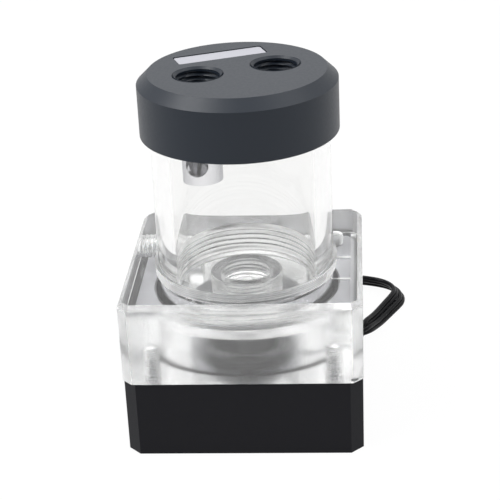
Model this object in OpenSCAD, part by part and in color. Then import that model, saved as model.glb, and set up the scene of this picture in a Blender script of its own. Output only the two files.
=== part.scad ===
// Coolant pump with a clear reservoir on top.
// Millimetres, +Z up. The origin is the middle of the underside of the base.
// From below: black base with the motor in it, clear pump block, clear tube, black screw cap.

/* [Base cover] */
// Width across the flats of the base
base_w = 65.6; // [64:0.1:72]
// Height of the base
base_h = 22; // [21.5:0.5:26]
// Leg of the 45 degree cut on each upright corner
corner_cut = 3.4; // [2.6:0.1:4]
// Thickness of the cover's side walls
cover_wall = 2; // [1.8:0.1:2.2]
// Thickness of the cover's floor
cover_floor = 2; // [1.6:0.1:2.2]

/* [Case screws] */
// Distance of each screw's axis from the two sides of the base nearest to it
screw_edge = 7.8; // [7.4:0.1:8]
// Outside diameter of the screw thread
screw_d = 4; // [3:0.5:4]
// Length of a screw under its head
screw_len = 25; // [24:0.5:26]
// Diameter of a screw head
head_d = 7; // [6.5:0.1:7.2]
// Height of a screw head
head_h = 2.6; // [2:0.1:2.8]
// Depth of the recess that a screw head sits in
head_sink = 3; // [2.9:0.1:3.4]
// Depth of the straight part of the screw holes in the block
screw_hole_h = 9; // [8:0.5:10]

/* [Motor housing] */
// Thickness of the plate that closes the motor off from the coolant
plate_h = 4; // [3.6:0.1:4.4]
// Gap between the rotor and the well that it turns in
well_gap = 0.5; // [0.4:0.1:0.7]
// Thickness of the well's wall
well_wall = 0.8; // [0.6:0.1:0.9]
// Height of the well's floor above the table, at its upper face
well_floor_z = 8.2; // [8:0.1:8.6]
// How far the lip round the well stands up into the pump chamber
lip_h = 1.3; // [0.8:0.1:1.6]
// Thickness of the skirt
skirt_wall = 1.6; // [1.2:0.1:1.8]
// How far the steel ring let into the plate stands in from the chamber's wall
wear_ring_in = 0.6; // [0.4:0.1:0.8]
// Width of the steel ring
wear_ring_w = 2.2; // [1.8:0.1:2.2]
// Thickness of the steel ring
wear_ring_h = 0.8; // [0.5:0.1:1.2]

/* [Board and stator] */
// Thickness of the heat pad under the circuit board
pad_h = 2.2; // [2:0.1:2.2]
// Width of the heat pad
pad_w = 26; // [20:1:30]
// Thickness of the circuit board
board_h = 1.6; // [1.4:0.1:1.6]
// Thickness of the stator, from its poles to its outside
stator_t = 6; // [5.6:0.1:6.6]
// Number of stator teeth
teeth = 6; // [4:1:6]
// Free height above and below the coils
coil_gap = 0.6; // [0.4:0.1:1]
// Width of a stator tooth
tooth_w = 5; // [4:0.5:6]
// Thickness of a coil round its tooth
coil_wall = 1.9; // [1.4:0.1:2]

/* [Rotor] */
// Outer radius of the rotor
rotor_r = 18.1; // [17.9:0.1:18.2]
// Inner radius of the rotor's ring magnet
magnet_bore_r = 13; // [11:0.5:14]
// How far the ring magnet stands up past the block's underside
rotor_rise = 0.6; // [0.4:0.1:0.8]
// Thickness of the impeller's back plate
back_h = 1.8; // [1.6:0.1:2]
// Height of the impeller's blades
blade_h = 5; // [4:0.1:5.2]
// Thickness of a blade
blade_t = 1.2; // [0.8:0.1:1.6]
// Number of blades
blades = 7; // [5:1:9]
// Thickness of the impeller's front plate at its rim
front_h = 1.6; // [1.2:0.1:1.8]
// Radius of the eye of the impeller, where the coolant goes in
eye_r = 7; // [6.5:0.1:7.6]
// Radius of the ceramic ball that the rotor turns on
ball_r = 2.4; // [2:0.1:2.6]

/* [Clear pump block] */
// How far the block's sides stand out past the base's sides
block_out = 0.2; // [0:0.1:0.4]
// Leg of the 45 degree cut on each upright corner of the block
block_cut = 2.7; // [2.4:0.1:4]
// Height of the block
block_h = 23.7; // [23.5:0.1:28]
// Leg of the 45 degree bevel round the block's top edge
block_bevel = 1.4; // [0.8:0.1:2]
// Leg of the small bevel round the block's bottom edge
foot_bevel = 0.3; // [0.2:0.1:0.4]
// Gap between the rotor and the wall of the pump chamber
chamber_gap = 6.7; // [6.6:0.1:6.9]
// Height of the pump chamber
chamber_h = 11; // [11:0.1:11.5]
// Thickness of the wall between the pump chamber and the reservoir
neck_h = 3; // [2.8:0.1:3.5]
// Outer radius of the raised neck in the reservoir's floor
neck_r = 10.25; // [9.5:0.25:11]
// How far the neck stands up from the reservoir's floor
neck_rise = 6; // [4:0.5:8]
// Radius of the neck's mouth
neck_mouth_r = 6.8; // [6:0.1:7.5]
// Radius of the hole that leads down to the impeller
inlet_r = 5; // [4:0.25:6]
// Width of the shallow grooves cut in the block's underside
slot_w = 1; // [0.6:0.1:1.4]
// Depth of those grooves
slot_h = 0.8; // [0.4:0.1:1.2]
// Width of the wider groove along the right side
side_groove_w = 1.6; // [1:0.1:2]
// Distance of the wider groove from the block's right side
side_groove_in = 1.8; // [1.2:0.1:2]
// How far behind the middle the first narrow groove runs
front_slot_y = 0.8; // [-4:0.1:6]
// How far behind the middle the second narrow groove runs
back_slot_y = 15; // [10:0.1:18]
// Leg of the bevel at the mouth of the tube's socket
socket_bevel = 0.7; // [0.4:0.1:1]

/* [Ports] */
// Outside diameter of the G1/4 pipe thread that every port takes
port_d = 13.16; // [13.16:0.01:13.4]
// Leg of the bevel at the mouth of a port
port_bevel = 0.5; // [0.3:0.1:0.6]
// Depth of the threaded side port
side_port_h = 8.8; // [8:0.1:8.8]
// Distance of the side port's axis behind the middle
side_port_y = 16.2; // [16:0.1:16.8]
// Height of the side port's axis above the block's underside
side_port_z = 11.8; // [11.4:0.1:12.2]
// Radius of the passage from the pump chamber to the side port
outlet_r = 4; // [3:0.1:4]
// Height of that passage above the block's underside
outlet_z = 8.4; // [6:0.1:9]
// How far that passage lies behind the side port's axis
outlet_back = 1; // [0:0.1:2]

/* [Reservoir tube] */
// Outside diameter of the tube
tube_d = 50; // [49.6:0.1:50]
// Thickness of the tube's wall
tube_wall = 5; // [4:0.25:5]
// Length of tube that shows between the block and the cap
tube_show = 38.3; // [30:0.1:160]
// Gap all round between the tube and the parts that it screws into
thread_gap = 0.3; // [0.3:0.05:0.4]
// Thickness of the rubber of the two tube seals
seal_d = 1.6; // [1.4:0.1:1.8]

/* [Cap] */
// Thickness of the cap's skirt
cap_wall = 2.2; // [2:0.1:3.6]
// Height of the cap
cap_h = 17; // [17:0.5:20]
// How far the bevel round the cap's top edge reaches in
cap_bevel_in = 3; // [2:0.25:3.5]
// How far the bevel round the cap's top edge reaches down
cap_bevel_down = 2.9; // [2:0.1:4]
// How far the tube goes up into the cap
tube_in_cap = 10; // [8:0.5:10]
// How far the plug in the middle of the cap reaches down past the tube's top
plug_h = 6; // [5:0.25:6.5]
// Distance between the two ports in the cap
cap_port_gap = 22.06; // [21:0.1:22.4]
// How far round the cap is screwed, which turns the line of its ports
cap_turn = 21.5; // [-180:0.5:180]
// Length of the blank plate let into the cap's top
badge_l = 25.2; // [16:0.2:26]
// Width of the blank plate
badge_w = 6.4; // [5:0.2:6.6]
// Thickness of the blank plate
badge_h = 0.9; // [0.6:0.1:1.2]
// Distance of the blank plate from the bevel, in the middle of the plate's length
badge_edge = 7.5; // [7.3:0.1:7.7]
// How far the blank plate lies below the cap's top
badge_sink = 0.2; // [0:0.1:0.3]
// Radius of the blank plate's corners
badge_corner = 0.8; // [0.4:0.1:1.5]

/* [Return fitting] */
// Outside diameter of the fitting that hangs under a cap port
fitting_d = 11; // [10:0.1:11.4]
// How far the fitting reaches below the cap's edge
fitting_drop = 12.4; // [8:0.1:14]
// Radius of the bore down the fitting
fitting_bore_r = 4; // [3:0.1:4.2]
// Radius of the hole across the fitting
cross_hole_r = 3; // [2:0.1:3.2]
// Distance of the cross hole's axis above the fitting's lower end
cross_hole_z = 5.5; // [5:0.1:7]
// Direction that the cross hole faces, measured from the line of the ports
cross_hole_turn = -29.5; // [-90:0.5:90]
// Length of the fitting's threaded collar
collar_h = 4.4; // [3:0.1:4.6]

/* [Lead] */
// Diameter of the bundle of wires
wire_d = 3.2; // [3:0.1:3.4]
// Height of the lead's exit above the table
exit_z = 4.2; // [4.1:0.1:4.4]
// Radius of the rubber bush that the lead leaves through
bush_r = 2.2; // [2:0.1:2.3]

/* [Hidden] */
$fn = 96;

root2 = sqrt(2);
overcut = 1;                                 // how far a cut runs past the face it opens
joint_gap = 0.05;                            // film between faces that are clamped together
slide_gap = 0.2;                             // play between the housing and the cover
board_gap = 1.6;                             // play between the circuit board and the cover
running_gap = 0.1;                           // play of the rotor on its ball

// Heights, from the table up
board_z = cover_floor + pad_h;
board_top = board_z + board_h;
base_top = base_h - joint_gap;
plate_z = base_h - plate_h;
chamber_top = base_h + chamber_h;
reservoir_z = chamber_top + neck_h;
block_top = base_h + block_h;
cap_z = block_top + tube_show;
cap_top = cap_z + cap_h;
tube_z = reservoir_z + seal_d + joint_gap;
tube_top = cap_z + tube_in_cap;
cap_roof = tube_top + seal_d + 2 * joint_gap;

// Screws
boss_r = head_d / 2 + 1.7;
boss_h = head_sink + 2.6;
screw_hole_r = screw_d / 2 + 0.2;
thread_hole_r = screw_d / 2 + joint_gap;

// Motor
housing_w = base_w - 2 * cover_wall - 2 * slide_gap;
housing_cut = inset_cut(corner_cut, cover_wall + slide_gap);
well_r = rotor_r + well_gap;
well_floor = 1.2;
well_lip = 1.2;
screw_at = base_w / 2 - screw_edge;
well_bottom = well_floor_z - well_floor;
magnet_z = well_floor_z + 0.8;
back_z = base_h + rotor_rise;
magnet_h = back_z - magnet_z;
blade_z = back_z + back_h;
front_z = blade_z + blade_h;
ball_z = back_z - 5.4;
post_r = 1.5;
cup_r = 4.2;
cup_h = 4.5;
cup_z = ball_z - 1.2;
hub_r = 8;
hub_drop = 3;                                // how far the hub reaches below the cup
pole_gap = 0.3;
pole_r = well_r + well_wall + pole_gap;
shoe_t = 1;
yoke_r = pole_r + stator_t;
yoke_in = yoke_r - 0.42 * stator_t;
skirt_r = yoke_r + pole_gap;
core_h = plate_z - well_bottom - 2 * coil_wall - 2 * coil_gap;
coil_h = core_h + 2 * coil_wall;
core_z = well_bottom + coil_gap + coil_wall;
board_w = base_w - 2 * cover_wall - 2 * board_gap;
chip_h = well_bottom - board_top - slide_gap;
chip = [5, 6];                               // switching transistor
chip_at = [9, 8];
controller_w = 6;
small_part = [2, 1.2];
small_pitch = 4;
small_at = 14;
chamber_r = rotor_r + chamber_gap;
o_ring_d = 2;
o_ring_r = chamber_r + 0.8;
groove_w = o_ring_d + 2 * joint_gap;
wear_ring_out = chamber_r - wear_ring_in;

// Block and tube
block_w = base_w + 2 * block_out;
tube_r = tube_d / 2;
tube_bore_r = tube_r - tube_wall;
socket_r = tube_r + thread_gap;
seal_r = (tube_r + tube_bore_r) / 2;
port_r = port_d / 2;

// Cap
cap_r = socket_r + cap_wall;
plug_r = tube_bore_r - thread_gap;
plug_z = tube_top - plug_h;
port_at = cap_port_gap / 2;
badge_at = cap_r - cap_bevel_in - badge_edge - badge_w / 2;
badge_shift = -0.5;
plate_play = 0.25;
fitting_z = cap_z - fitting_drop;
collar_r = 5.8;
collar_top = plug_z + collar_h;

// Lead
wall_out = (base_w - corner_cut) / root2;    // distance of a corner's cut face from the middle
bush_out = 0.8;
coil_z = 2.2;                                // height of the middle of the coil's lower turn
lead_route = [[33.2, 33.3, 3.9], [34.7, 36.1, 3.2], [36.3, 40, 2.4], [38, 44, 1.9],
    [39.7, 48, 1.7], [41.4, 51.7, 1.7], [43, 55.2, 1.7], [44.3, 58.7, 1.7], [44.4, 62.4, 1.7],
    [42.9, 65.9, 1.7], [40, 68.8, 1.7], [36, 70.6, 1.8], [31, 71.6, 2], [25, 72, 2.2],
    [19, 72, 2.2]];
tail_route = [[7, 72, 5.4], [3, 72, 5.2], [-2, 72, 4.2], [-6.5, 72, 3], [-10, 72, 2.6], [-12, 72, 2.6]];
coil_x = 12;
coil_y = 55.5;
coil_r = 16.5;
coil_turns = 2;
tie_t = 0.5;
tie_l = 4;
sleeve_l = 7;
sleeve_d = 4.8;
fan_route = [[-19, 73.4, 2.7], [-22.5, 73.4, 2.7], [-26, 73.4, 2.7]];
power_route = [[-19, 70.7, 2.6], [-20.2, 70.7, 2.6], [-21.8, 69.8, 3], [-22.8, 68, 3.6],
    [-23, 65.6, 4.2], [-23, 64, 4.2]];
pair_d = 2.4;
fan_size = [12, 10.2, 5.8];
fan_pitch = 2.54;
power_size = [21.4, 17, 8.4];
power_pitch = 5.08;

// A cut of the same octagon once its faces are moved in by a distance
function inset_cut(cut, by) = cut - by * (2 - root2);

// Points of an octagon of width w with its corners cut
function octagon_points(w, cut) = [for (q = [0:3]) each [
    turned([w / 2, w / 2 - cut], 90 * q), turned([w / 2 - cut, w / 2], 90 * q)]];

function turned(p, a) = [p.x * cos(a) - p.y * sin(a), p.x * sin(a) + p.y * cos(a)];

module octagon(w, cut, h) {
    linear_extrude(h) polygon(octagon_points(w, cut));
}

// Places its children at each case screw
module at_screws() {
    for (x = [-1, 1], y = [-1, 1]) translate([x * screw_at, y * screw_at, 0]) children();
}

module ring(r_out, r_in, h) {
    difference() {
        cylinder(r = r_out, h = h);
        translate([0, 0, -overcut]) cylinder(r = r_in, h = h + 2 * overcut);
    }
}

module rubber_ring(r, d) {
    rotate_extrude() translate([r, 0]) circle(d = d, $fn = 24);
}

// Removes a 45 degree bevel of leg b from the top edge of an octagonal block of height h
module edge_bevel(w, cut, h, b) {
    half = w / 2;
    corner = (w - cut) / root2;
    for (i = [0:7]) rotate(45 * i) translate([i % 2 == 0 ? half : corner, w / 2, h])
        rotate([90, 0, 0]) linear_extrude(w)
            polygon([[-b - overcut, overcut], [overcut, -b - overcut], [overcut, overcut]]);
}

// Turns what points along +Z to point out of the cut corner at the back right
module out_of_corner(distance) {
    rotate(45) translate([distance, 0, exit_z]) rotate([0, 90, 0]) children();
}

// Hole for a G1/4 thread, with a bevelled mouth at the origin and its depth along -Z
module port_hole(depth) {
    translate([0, 0, -depth]) cylinder(r = port_r, h = depth + overcut);
    translate([0, 0, -port_bevel])
        cylinder(r1 = port_r, r2 = port_r + port_bevel + overcut, h = port_bevel + overcut);
}

// Round tube of n sides along a list of points
module sweep(route, d, n) {
    last = len(route) - 1;
    heading = [for (i = [0:last]) route[min(i + 1, last)] - route[max(i - 1, 0)]];
    side = [for (v = heading) cross(v, [0, 0, 1]) / norm(cross(v, [0, 0, 1]))];
    rise = [for (i = [0:last]) cross(side[i], heading[i]) / norm(cross(side[i], heading[i]))];
    points = [for (i = [0:last], k = [0:n - 1])
        route[i] + d / 2 * (side[i] * cos(360 * k / n) + rise[i] * sin(360 * k / n))];
    walls = [for (i = [0:last - 1], k = [0:n - 1])
        [i * n + k, i * n + (k + 1) % n, (i + 1) * n + (k + 1) % n, (i + 1) * n + k]];
    polyhedron(points, concat([[for (k = [n - 1:-1:0]) k]], walls,
        [[for (k = [0:n - 1]) last * n + k]]));
}

// ---- Base ----

// Black cover: a tray that holds the motor and takes the screw heads
module base_cover() {
    color([0.13, 0.13, 0.14]) difference() {
        union() {
            difference() {
                octagon(base_w, corner_cut, base_top);
                translate([0, 0, cover_floor]) octagon(base_w - 2 * cover_wall,
                    inset_cut(corner_cut, cover_wall), base_h);
            }
            at_screws() cylinder(r = boss_r, h = boss_h);
        }
        at_screws() {
            translate([0, 0, -overcut]) cylinder(r = screw_hole_r, h = boss_h + 2 * overcut);
            translate([0, 0, -overcut]) cylinder(r = head_d / 2 + 0.3, h = head_sink + overcut);
        }
        out_of_corner(wall_out - cover_wall - overcut)
            cylinder(r = bush_r, h = cover_wall + 2 * overcut);
    }
}

// Four socket screws that clamp cover, motor housing and block together from below
module case_screws() {
    color([0.5, 0.5, 0.52]) at_screws() difference() {
        union() {
            translate([0, 0, head_sink]) cylinder(d = screw_d, h = screw_len);
            translate([0, 0, head_sink - head_h]) cylinder(d = head_d, h = head_h);
        }
        translate([0, 0, head_sink - head_h - overcut])
            cylinder(d = 0.62 * screw_d, h = 1.6 + overcut, $fn = 6);
    }
}

// Soft pad that carries the board's heat into the cover
module thermal_pad() {
    color([0.62, 0.7, 0.78]) translate([-pad_w / 2, -pad_w / 2, cover_floor])
        cube([pad_w, pad_w, pad_h]);
}

// Circuit board of the motor, notched round the screw bosses
module circuit_board() {
    color([0.07, 0.3, 0.16]) translate([0, 0, board_z]) difference() {
        octagon(board_w, inset_cut(corner_cut, cover_wall + board_gap), board_h);
        at_screws() translate([0, 0, -overcut])
            cylinder(r = boss_r + 0.4, h = board_h + 2 * overcut);
    }
}

// Switching transistors and the controller chip on the board
module board_parts() {
    color([0.1, 0.1, 0.11]) translate([0, 0, board_top]) {
        for (x = [-1, 1], y = [-1, 1])
            translate([chip_at.x * x - chip.x / 2, chip_at.y * y - chip.y / 2, 0])
                cube([chip.x, chip.y, chip_h]);
        translate([-controller_w / 2, -controller_w / 2, 0])
            cube([controller_w, controller_w, chip_h]);
        for (x = [-1.5:1:1.5]) translate([small_pitch * x - small_part.x / 2, small_at, 0])
            cube([small_part.x, small_part.y, 0.7 * chip_h]);
    }
}

// Grey motor housing: plate, well for the rotor, skirt round the stator and four screw legs
module motor_housing() {
    color([0.55, 0.55, 0.58]) difference() {
        union() {
            translate([0, 0, plate_z]) octagon(housing_w, housing_cut, base_top - plate_z);
            translate([0, 0, board_top])
                ring(skirt_r + skirt_wall, skirt_r, plate_z - board_top);
            translate([0, 0, well_bottom])
                cylinder(r = well_r + well_wall, h = plate_z - well_bottom);
            translate([0, 0, base_top - overcut])
                cylinder(r = well_r + well_lip, h = lip_h + overcut);
            at_screws() translate([0, 0, boss_h])
                cylinder(r = boss_r - 0.6, h = plate_z - boss_h);
        }
        translate([0, 0, well_floor_z]) cylinder(r = well_r, h = base_h);
        translate([0, 0, well_floor_z - well_floor / 2]) cylinder(r = post_r, h = well_floor);
        at_screws() translate([0, 0, boss_h - overcut]) cylinder(r = screw_hole_r, h = base_h);
        translate([0, 0, base_h - o_ring_d])
            ring(o_ring_r + groove_w / 2, o_ring_r - groove_w / 2, o_ring_d);
        translate([0, 0, base_top - wear_ring_h])
            ring(wear_ring_out, wear_ring_out - wear_ring_w, wear_ring_h + overcut);
    }
}

// Stack of steel laminations: a yoke with teeth that end in curved pole shoes
module stator_core() {
    shoe_angle = 0.77 * 180 / teeth;
    color([0.55, 0.56, 0.58]) translate([0, 0, core_z]) linear_extrude(core_h) difference() {
        union() {
            difference() {
                circle(r = yoke_r);
                circle(r = yoke_in);
            }
            for (i = [0:teeth - 1]) rotate(360 * i / teeth) {
                translate([pole_r, -tooth_w / 2]) square([yoke_in - pole_r + joint_gap * 2, tooth_w]);
                intersection() {
                    circle(r = pole_r + shoe_t);
                    polygon([[0, 0], turned([2 * pole_r, 0], -shoe_angle),
                        turned([2 * pole_r, 0], shoe_angle)]);
                }
            }
        }
        circle(r = pole_r);
    }
}

// One copper coil round each tooth
module stator_coils() {
    coil_in = pole_r + shoe_t + joint_gap * 2;
    coil_l = sqrt(yoke_in ^ 2 - (tooth_w / 2 + coil_wall) ^ 2) - joint_gap - coil_in;
    hole = [coil_l + 2 * overcut, tooth_w + 4 * joint_gap, core_h + 4 * joint_gap];
    color([0.72, 0.4, 0.2]) for (i = [0:teeth - 1]) rotate(360 * i / teeth)
        translate([coil_in, 0, core_z + core_h / 2]) difference() {
            translate([0, -tooth_w / 2 - coil_wall, -coil_h / 2])
                cube([coil_l, tooth_w + 2 * coil_wall, coil_h]);
            translate([-overcut, -hole.y / 2, -hole.z / 2]) cube(hole);
        }
}

// Black rubber ring that seals the pump chamber
module chamber_o_ring() {
    color([0.06, 0.06, 0.06]) translate([0, 0, base_h - o_ring_d / 2])
        rubber_ring(o_ring_r, o_ring_d);
}

// Steel ring let into the plate at the edge of the pump chamber
module wear_ring() {
    color([0.75, 0.75, 0.76]) translate([0, 0, base_top - wear_ring_h])
        ring(wear_ring_out, wear_ring_out - wear_ring_w, wear_ring_h);
}

// ---- Bearing and rotor ----

// Steel post in the middle of the well, with a dished end for the ball
module bearing_post() {
    post_z = well_floor_z - well_floor / 2;
    color([0.7, 0.7, 0.72]) difference() {
        translate([0, 0, post_z]) cylinder(r = post_r, h = ball_z - 1.6 - post_z);
        translate([0, 0, ball_z]) sphere(r = ball_r + joint_gap / 5);
    }
}

// Ceramic ball that carries the rotor
module bearing_ball() {
    color([0.93, 0.92, 0.88]) translate([0, 0, ball_z]) sphere(r = ball_r);
}

// Dished carbon cup, pressed into the rotor's hub
module bearing_cup() {
    dish_r = ball_r + running_gap;
    color([0.2, 0.2, 0.21]) difference() {
        translate([0, 0, cup_z]) cylinder(r = cup_r, h = cup_h);
        translate([0, 0, ball_z]) sphere(r = dish_r);
        translate([0, 0, cup_z - overcut]) cylinder(r = dish_r, h = ball_z - cup_z + overcut);
    }
}

// Ring magnet that the stator turns
module rotor_magnet() {
    color([0.3, 0.3, 0.32]) translate([0, 0, magnet_z]) ring(rotor_r, magnet_bore_r, magnet_h);
}

// Outline of one curved blade, from the hub to the rim
module blade_outline() {
    arc_r = 13;
    arc_at = [11.5, 3.5];
    intersection() {
        translate(arc_at) difference() {
            circle(r = arc_r);
            circle(r = arc_r - blade_t);
        }
        difference() {
            circle(r = rotor_r - 0.3);
            circle(r = eye_r + 0.6);
        }
        translate([-rotor_r, arc_at.y - 0.5]) square([2 * rotor_r, rotor_r]);
    }
}

// Impeller: hub, back plate and curved blades in one moulding
module impeller() {
    hub_z = cup_z - hub_drop;
    color([0.1, 0.1, 0.11]) difference() {
        union() {
            translate([0, 0, back_z]) cylinder(r = rotor_r, h = back_h);
            translate([0, 0, hub_z]) cylinder(r = hub_r, h = back_z - hub_z);
            translate([0, 0, blade_z]) rotate_extrude() intersection() {
                scale([1, 0.6]) circle(r = hub_r - 2.5, $fn = 48);
                square(hub_r);
            }
            translate([0, 0, blade_z]) linear_extrude(blade_h)
                for (i = [0:blades - 1]) rotate(360 * i / blades) blade_outline();
        }
        translate([0, 0, hub_z - overcut]) cylinder(r = cup_r, h = cup_z + cup_h - hub_z + overcut);
    }
}

// Front plate of the impeller, highest round its eye
module impeller_front() {
    color([0.1, 0.1, 0.11]) translate([0, 0, front_z]) rotate_extrude()
        polygon([[eye_r, 0], [rotor_r, 0], [rotor_r, front_h - 0.4], [rotor_r - 0.4, front_h],
            [eye_r + 1.6, front_h + 0.4], [eye_r + 1.2, front_h + 0.7], [eye_r, front_h + 0.7]]);
}

// ---- Clear block and tube ----

// Clear block: pump chamber below, threaded socket for the tube above, neck between them
module pump_block() {
    passage_l = chamber_r / 3 + overcut;
    groove_x = block_w / 2 - side_groove_in - side_groove_w;
    slot_x = chamber_r - joint_gap;
    color([0.85, 0.9, 0.92, 0.4]) translate([0, 0, base_h]) difference() {
        octagon(block_w, block_cut, block_h);
        edge_bevel(block_w, block_cut, block_h, block_bevel);
        mirror([0, 0, 1]) edge_bevel(block_w, block_cut, 0, foot_bevel);

        // Pump chamber, and the way up to the reservoir
        translate([0, 0, -overcut]) cylinder(r = chamber_r, h = chamber_h + overcut);
        cylinder(r = inlet_r, h = block_h);
        translate([0, 0, chamber_h + neck_h / 2]) cylinder(r = neck_mouth_r, h = block_h);

        // Socket of the tube, round the neck
        translate([0, 0, chamber_h + neck_h]) ring(socket_r, neck_r, neck_rise);
        translate([0, 0, chamber_h + neck_h + neck_rise]) cylinder(r = socket_r, h = block_h);
        translate([0, 0, block_h - socket_bevel]) cylinder(r1 = socket_r,
            r2 = socket_r + socket_bevel + overcut, h = socket_bevel + overcut);

        // Side port, and the passage that runs to it off the edge of the chamber
        translate([-block_w / 2, side_port_y, side_port_z]) rotate([0, -90, 0])
            port_hole(side_port_h);
        translate([-block_w / 2 + side_port_h - overcut, side_port_y + outlet_back, outlet_z])
            rotate([0, 90, 0]) cylinder(r = outlet_r, h = passage_l);

        // Screw holes with drilled ends
        at_screws() {
            translate([0, 0, -overcut]) cylinder(r = thread_hole_r, h = screw_hole_h + overcut);
            translate([0, 0, screw_hole_h])
                cylinder(r1 = thread_hole_r, r2 = 0, h = 0.6 * thread_hole_r);
        }

        // Shallow grooves in the underside: one along the right side, two in from it
        translate([groove_x, -block_w / 2 + 2, -overcut])
            cube([side_groove_w, block_w - 4, slot_h + overcut]);
        for (y = [front_slot_y, back_slot_y]) translate([slot_x, y, -overcut]) {
            cylinder(d = slot_w, h = slot_h + overcut);
            translate([0, -slot_w / 2, 0])
                cube([groove_x - slot_x + side_groove_w / 2, slot_w, slot_h + overcut]);
        }
    }
}

// Clear ring under the tube's lower end
module tube_seal() {
    color([0.85, 0.85, 0.85, 0.7]) translate([0, 0, reservoir_z + seal_d / 2])
        rubber_ring(seal_r, seal_d);
}

// Clear tube that holds the coolant
module reservoir_tube() {
    color([0.88, 0.93, 0.95, 0.35]) translate([0, 0, tube_z])
        ring(tube_r, tube_bore_r, tube_top - tube_z);
}

// ---- Cap ----

// Rubber ring between the tube's upper end and the cap
module cap_seal() {
    color([0.06, 0.06, 0.06]) translate([0, 0, tube_top + joint_gap + seal_d / 2])
        rubber_ring(seal_r, seal_d);
}

// Rounded bar, the shape of the blank plate
module plate_shape(l, w, corner, h) {
    linear_extrude(h) {
        square([l - 2 * corner, w], center = true);
        square([l, w - 2 * corner], center = true);
        for (x = [-1, 1], y = [-1, 1])
            translate([x * (l / 2 - corner), y * (w / 2 - corner)])
                circle(r = corner, $fn = 32);
    }
}

// Black cap: skirt that screws over the tube, plug inside it and two threaded ports
module cap() {
    color([0.16, 0.17, 0.19]) difference() {
        translate([0, 0, cap_z]) rotate_extrude() polygon([[0, 0], [cap_r, 0],
            [cap_r, cap_h - cap_bevel_down], [cap_r - cap_bevel_in, cap_h], [0, cap_h]]);

        // Groove that takes the tube, and the space below the plug
        translate([0, 0, cap_z - overcut]) ring(socket_r, plug_r, cap_roof - cap_z + overcut);
        translate([0, 0, cap_z - overcut])
            cylinder(r = plug_r + overcut, h = plug_z - cap_z + overcut);

        rotate(cap_turn) {
            translate([port_at, 0, cap_top]) port_hole(cap_h);
            translate([-port_at, 0, cap_top]) port_hole(cap_top - collar_top);
            translate([-port_at, 0, cap_z]) cylinder(r = collar_r + joint_gap, h = cap_h - overcut);
            translate([badge_shift, badge_at, cap_top - badge_h - badge_sink])
                plate_shape(badge_l + 2 * plate_play, badge_w + 2 * plate_play,
                    badge_corner, badge_h + overcut);
        }
    }
}

// Blank plate let into the cap's top
module cap_plate() {
    color([0.87, 0.87, 0.89]) rotate(cap_turn)
        translate([badge_shift, badge_at, cap_top - badge_h - badge_sink])
            plate_shape(badge_l, badge_w, badge_corner, badge_h);
}

// Bright fitting screwed up into the left port: it turns the returning coolant sideways
module return_fitting() {
    color([0.82, 0.82, 0.84]) rotate(cap_turn) translate([-port_at, 0, fitting_z]) difference() {
        union() {
            cylinder(d = fitting_d, h = plug_z - fitting_z + collar_h);
            translate([0, 0, plug_z - fitting_z])
                cylinder(r = collar_r, h = collar_h);
        }
        translate([0, 0, 1]) cylinder(r = fitting_bore_r, h = cap_top);
        translate([0, 0, cross_hole_z]) rotate([90, 0, cross_hole_turn])
            cylinder(r = cross_hole_r, h = 2 * fitting_d, center = true);
    }
}

// ---- Lead ----

// Rubber bush in the cut corner at the back right
module lead_bush() {
    color([0.08, 0.08, 0.08]) out_of_corner(wall_out - cover_wall)
        cylinder(r = bush_r, h = cover_wall + bush_out);
}

// Bundle of wires, from the bush to the coil
module wire_lead() {
    start = (wall_out + bush_out) / root2;
    color([0.08, 0.08, 0.08]) sweep(concat([[start, start, exit_z]], lead_route), wire_d, 8);
}

// Spare length, wound up behind the base
module wire_coil() {
    color([0.08, 0.08, 0.08]) translate([coil_x, coil_y, coil_z - wire_d / 2])
        ring(coil_r + wire_d / 2, coil_r - wire_d / 2, coil_turns * wire_d);
}

// Tie that holds the coil together
module coil_tie() {
    play = 0.05;
    inside = [tie_l + 2 * overcut, wire_d + 1.4, coil_turns * wire_d + 2 * play];
    color([0.15, 0.15, 0.15])
        translate([coil_x, coil_y - coil_r, coil_z - wire_d / 2 + coil_turns * wire_d / 2])
            difference() {
                cube([tie_l, inside.y + 2 * tie_t, inside.z + 2 * tie_t], center = true);
                cube(inside, center = true);
            }
}

// The last stretch of the bundle, from the coil to the sleeve
module wire_tail() {
    color([0.08, 0.08, 0.08]) sweep(tail_route, wire_d, 8);
}

// Shrunk sleeve where the bundle parts in two pairs
module split_sleeve() {
    color([0.05, 0.05, 0.05]) translate(tail_route[len(tail_route) - 1]) rotate([0, -90, 0])
        cylinder(d = sleeve_d, h = sleeve_l);
}

// Pair of wires to the speed plug
module fan_lead() {
    color([0.08, 0.08, 0.08]) sweep(fan_route, pair_d, 8);
}

// Four-way plug for speed control: a flat housing with two keys along it
module fan_plug() {
    end = fan_route[len(fan_route) - 1];
    key_w = 2.2;
    way_w = 1.3;
    color([0.1, 0.1, 0.1]) translate([end.x - fan_size.x, end.y, 0]) difference() {
        union() {
            translate([0, -fan_size.y / 2, 0]) cube(fan_size - [0, 0, 1]);
            for (y = [-2.8, 2.6]) translate([0, y - key_w / 2, 0])
                cube([fan_size.x, key_w, fan_size.z]);
        }
        for (i = [-1.5:1:1.5]) translate([-overcut, fan_pitch * i - way_w / 2, 1.6])
            cube([8 + overcut, way_w, 1.6]);
    }
}

// Pair of wires to the power plug
module power_lead() {
    color([0.08, 0.08, 0.08]) sweep(power_route, pair_d, 8);
}

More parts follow.
